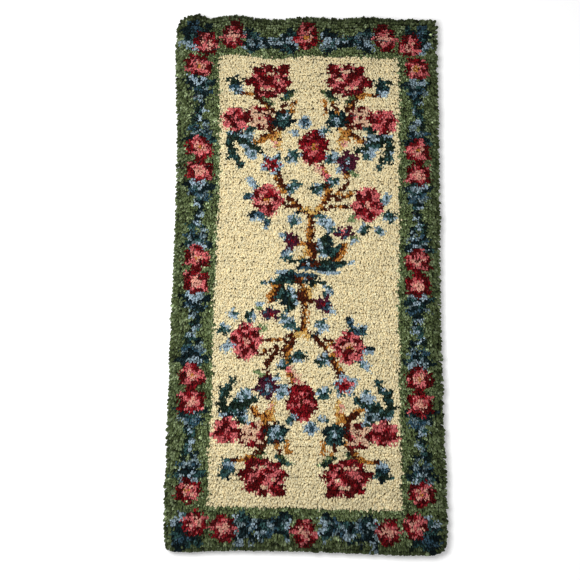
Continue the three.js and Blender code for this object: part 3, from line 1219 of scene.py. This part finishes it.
def canvas_net(sizes, colours):
    """The open canvas: thick threads across, pairs of thin ones along, and a hem turned under."""
    outline = Outline()
    form = column_form(THREAD_SIDES, THREAD_SPANS + 1)
    along = form.spread(np.linspace(0, 1, THREAD_SPANS + 1))
    weft, warp = sizes.weft_thickness / 2, sizes.warp_thickness / 2
    top, hem = CANVAS_HIGH.z - weft - THREAD_CLEAR, HEM_CLEAR + weft
    cotton = np.array(colours.cotton)

    def wefts(rows, z):
        shares, across = np.meshgrid(np.array(rows) / KNOTS_ALONG, along, indexing="ij")
        x, y = outline.place(WEFT_SHORT + (1 - 2 * WEFT_SHORT) * across, shares)
        line = (np.clip(x, outline.left_rounded(y), outline.right_rounded(y)), y, np.full_like(x, z))
        points = thread_points(form, weft, line, ((0, 1, 0), (0, 0, 1)))
        return Copies(form, along, points, np.broadcast_to(cotton, points.shape))

    def warps(columns, z, aside):
        shares, lengthwise = np.meshgrid(np.array(columns) / KNOTS_ACROSS, along, indexing="ij")
        x, y = outline.place(shares, WARP_SHORT + (1 - 2 * WARP_SHORT) * lengthwise)
        line = (x + aside, np.clip(y, outline.near_rounded(x), outline.far_rounded(x)), np.full_like(x, z))
        points = thread_points(form, warp, line, ((0, 0, 1), (1, 0, 0)))
        return Copies(form, along, points, np.broadcast_to(cotton * WARP_PAINTED_SHADE, points.shape))

    rows = np.arange(KNOTS_ALONG + 1).clip(EDGE_WEFT, KNOTS_ALONG - EDGE_WEFT)
    columns = np.arange(KNOTS_ACROSS + 1).clip(EDGE_WARP, KNOTS_ACROSS - EDGE_WARP)
    hem_rows = np.arange(sizes.hem_knots) + HEM_WEFT
    hem_columns = np.arange(sizes.hem_knots) + HEM_WARP
    batches = [
        wefts(rows, top),
        warps(columns, top - WARP_DROPS[0], -warp),
        warps(columns, top - WARP_DROPS[1], warp),
        wefts(np.concatenate([hem_rows, KNOTS_ALONG - hem_rows]), hem),
        warps(np.concatenate([hem_columns, KNOTS_ACROSS - hem_columns]), hem, 0),
    ]
    piece = joined_mesh("canvas_net", batches)
    piece.data.materials.append(cotton_material())
    return piece


# --- The stage ---

FLOOR_HALF = 6
LOOKED_AT = (-0.0345, -0.0387, PILE_HIGH.z / 2)  # the point that the camera is aimed at
ROOM_LIGHT = 0.44


def lay_floor():
    """A level floor that reaches well past the rug."""
    bm = bmesh.new()
    bmesh.ops.create_grid(bm, x_segments=2, y_segments=2, size=FLOOR_HALF)
    mesh = bpy.data.meshes.new("floor")
    bm.to_mesh(mesh)
    bm.free()
    floor = bpy.data.objects.new("floor", mesh)
    bpy.context.scene.collection.objects.link(floor)
    mesh.materials.append(floor_material())
    return floor


def aim(thing, place, target):
    """Puts a camera or a light at a place and points it at a target."""
    thing.location = place
    thing.rotation_euler = (Vector(target) - Vector(place)).to_track_quat("-Z", "Y").to_euler()


def add_soft_light(name, place, target, size, power):
    """A wide round light, for soft shadows."""
    lamp = bpy.data.lights.new(name, "AREA")
    lamp.shape = "DISK"
    lamp.size = size
    lamp.energy = power
    light = bpy.data.objects.new(name, lamp)
    bpy.context.scene.collection.objects.link(light)
    aim(light, place, target)


def add_camera(stage):
    """Above the near end, looking down on a point beside the middle of the rug."""
    data = bpy.data.cameras.new("camera")
    data.lens = stage.lens
    camera = bpy.data.objects.new("camera", data)
    bpy.context.scene.collection.objects.link(camera)
    back = Vector((0, -math.cos(stage.camera_height), math.sin(stage.camera_height)))
    aim(camera, Vector(LOOKED_AT) + back * stage.camera_distance, LOOKED_AT)
    camera.rotation_euler.rotate_axis("Z", stage.camera_roll)
    bpy.context.scene.camera = camera


def light_room():
    """Even light from all round, and a window over the rug."""
    world = bpy.data.worlds.new("room")
    world.use_nodes = True
    around = world.node_tree.nodes["Background"].inputs
    around["Color"].default_value = WHITE
    around["Strength"].default_value = ROOM_LIGHT
    bpy.context.scene.world = world
    bpy.context.scene.view_settings.view_transform = "Standard"
    add_soft_light("window", place=(-0.60, -0.05, 1.5), target=(0, 0, 0), size=1.2, power=26)


# --- Operators, panel and registration ---


def finish_pieces(pieces, slot, *nodes):
    """These pieces ride on the rug's body and stand for its plain solids."""
    for piece in pieces:
        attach(piece, "root")
        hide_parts(*nodes)


class RUG_OT_stage(bpy.types.Operator):
    """Sets up the camera, the light and the floor"""

    bl_idname = "rug.stage"
    bl_label = "Stage"

    def execute(self, context):
        add_camera(context.scene.rug_stage)
        light_room()
        lay_floor()
        return {"FINISHED"}


class RUG_OT_hook_pile(bpy.types.Operator):
    """Hooks the cut pile, in strips along the rug"""

    bl_idname = "rug.hook_pile"
    bl_label = "Pile"

    def execute(self, context):
        finish_pieces(pile_strips(context.scene.rug_sizes, context.scene.rug_colours), "yarn", "pile")
        return {"FINISHED"}


class RUG_OT_tie_knots(bpy.types.Operator):
    """Ties the knots' loops under the canvas"""

    bl_idname = "rug.tie_knots"
    bl_label = "Knot loops"

    def execute(self, context):
        finish_pieces([knot_loops(context.scene.rug_sizes, context.scene.rug_colours)], "yarn")
        return {"FINISHED"}


class RUG_OT_weave_canvas(bpy.types.Operator):
    """Weaves the open canvas and its hem"""

    bl_idname = "rug.weave_canvas"
    bl_label = "Canvas"

    def execute(self, context):
        canvas = canvas_net(context.scene.rug_sizes, context.scene.rug_colours)
        finish_pieces([canvas], "canvas", "canvas")
        return {"FINISHED"}


class RUG_PT_pieces(bpy.types.Panel):
    """The rug's pieces, each with its sizes and colours"""

    bl_label = "Latch hook rug"
    bl_space_type = "VIEW_3D"
    bl_region_type = "UI"
    bl_category = "Rug"

    def draw(self, context):
        for operator in OPERATORS:
            self.layout.operator(operator.bl_idname)
        for group in (context.scene.rug_sizes, context.scene.rug_colours, context.scene.rug_stage):
            box = self.layout.box()
            for name in group.bl_rna.properties.keys():
                if name not in ("rna_type", "name"):
                    box.prop(group, name)


OPERATORS = (RUG_OT_stage, RUG_OT_hook_pile, RUG_OT_tie_knots, RUG_OT_weave_canvas)
GROUPS = {"rug_colours": RugColours, "rug_sizes": RugSizes, "rug_stage": RugStage}


def register():
    for made in (*GROUPS.values(), *OPERATORS, RUG_PT_pieces):
        bpy.utils.register_class(made)
    for name, group in GROUPS.items():
        setattr(bpy.types.Scene, name, PointerProperty(type=group))


def unregister():
    for name in GROUPS:
        delattr(bpy.types.Scene, name)
    for made in (RUG_PT_pieces, *OPERATORS[::-1], *GROUPS.values()):
        bpy.utils.unregister_class(made)


def main():
    """Makes every piece."""
    register()
    bpy.ops.rug.stage()
    bpy.ops.rug.hook_pile()
    bpy.ops.rug.tie_knots()
    bpy.ops.rug.weave_canvas()


if __name__ == "__main__":
    main()
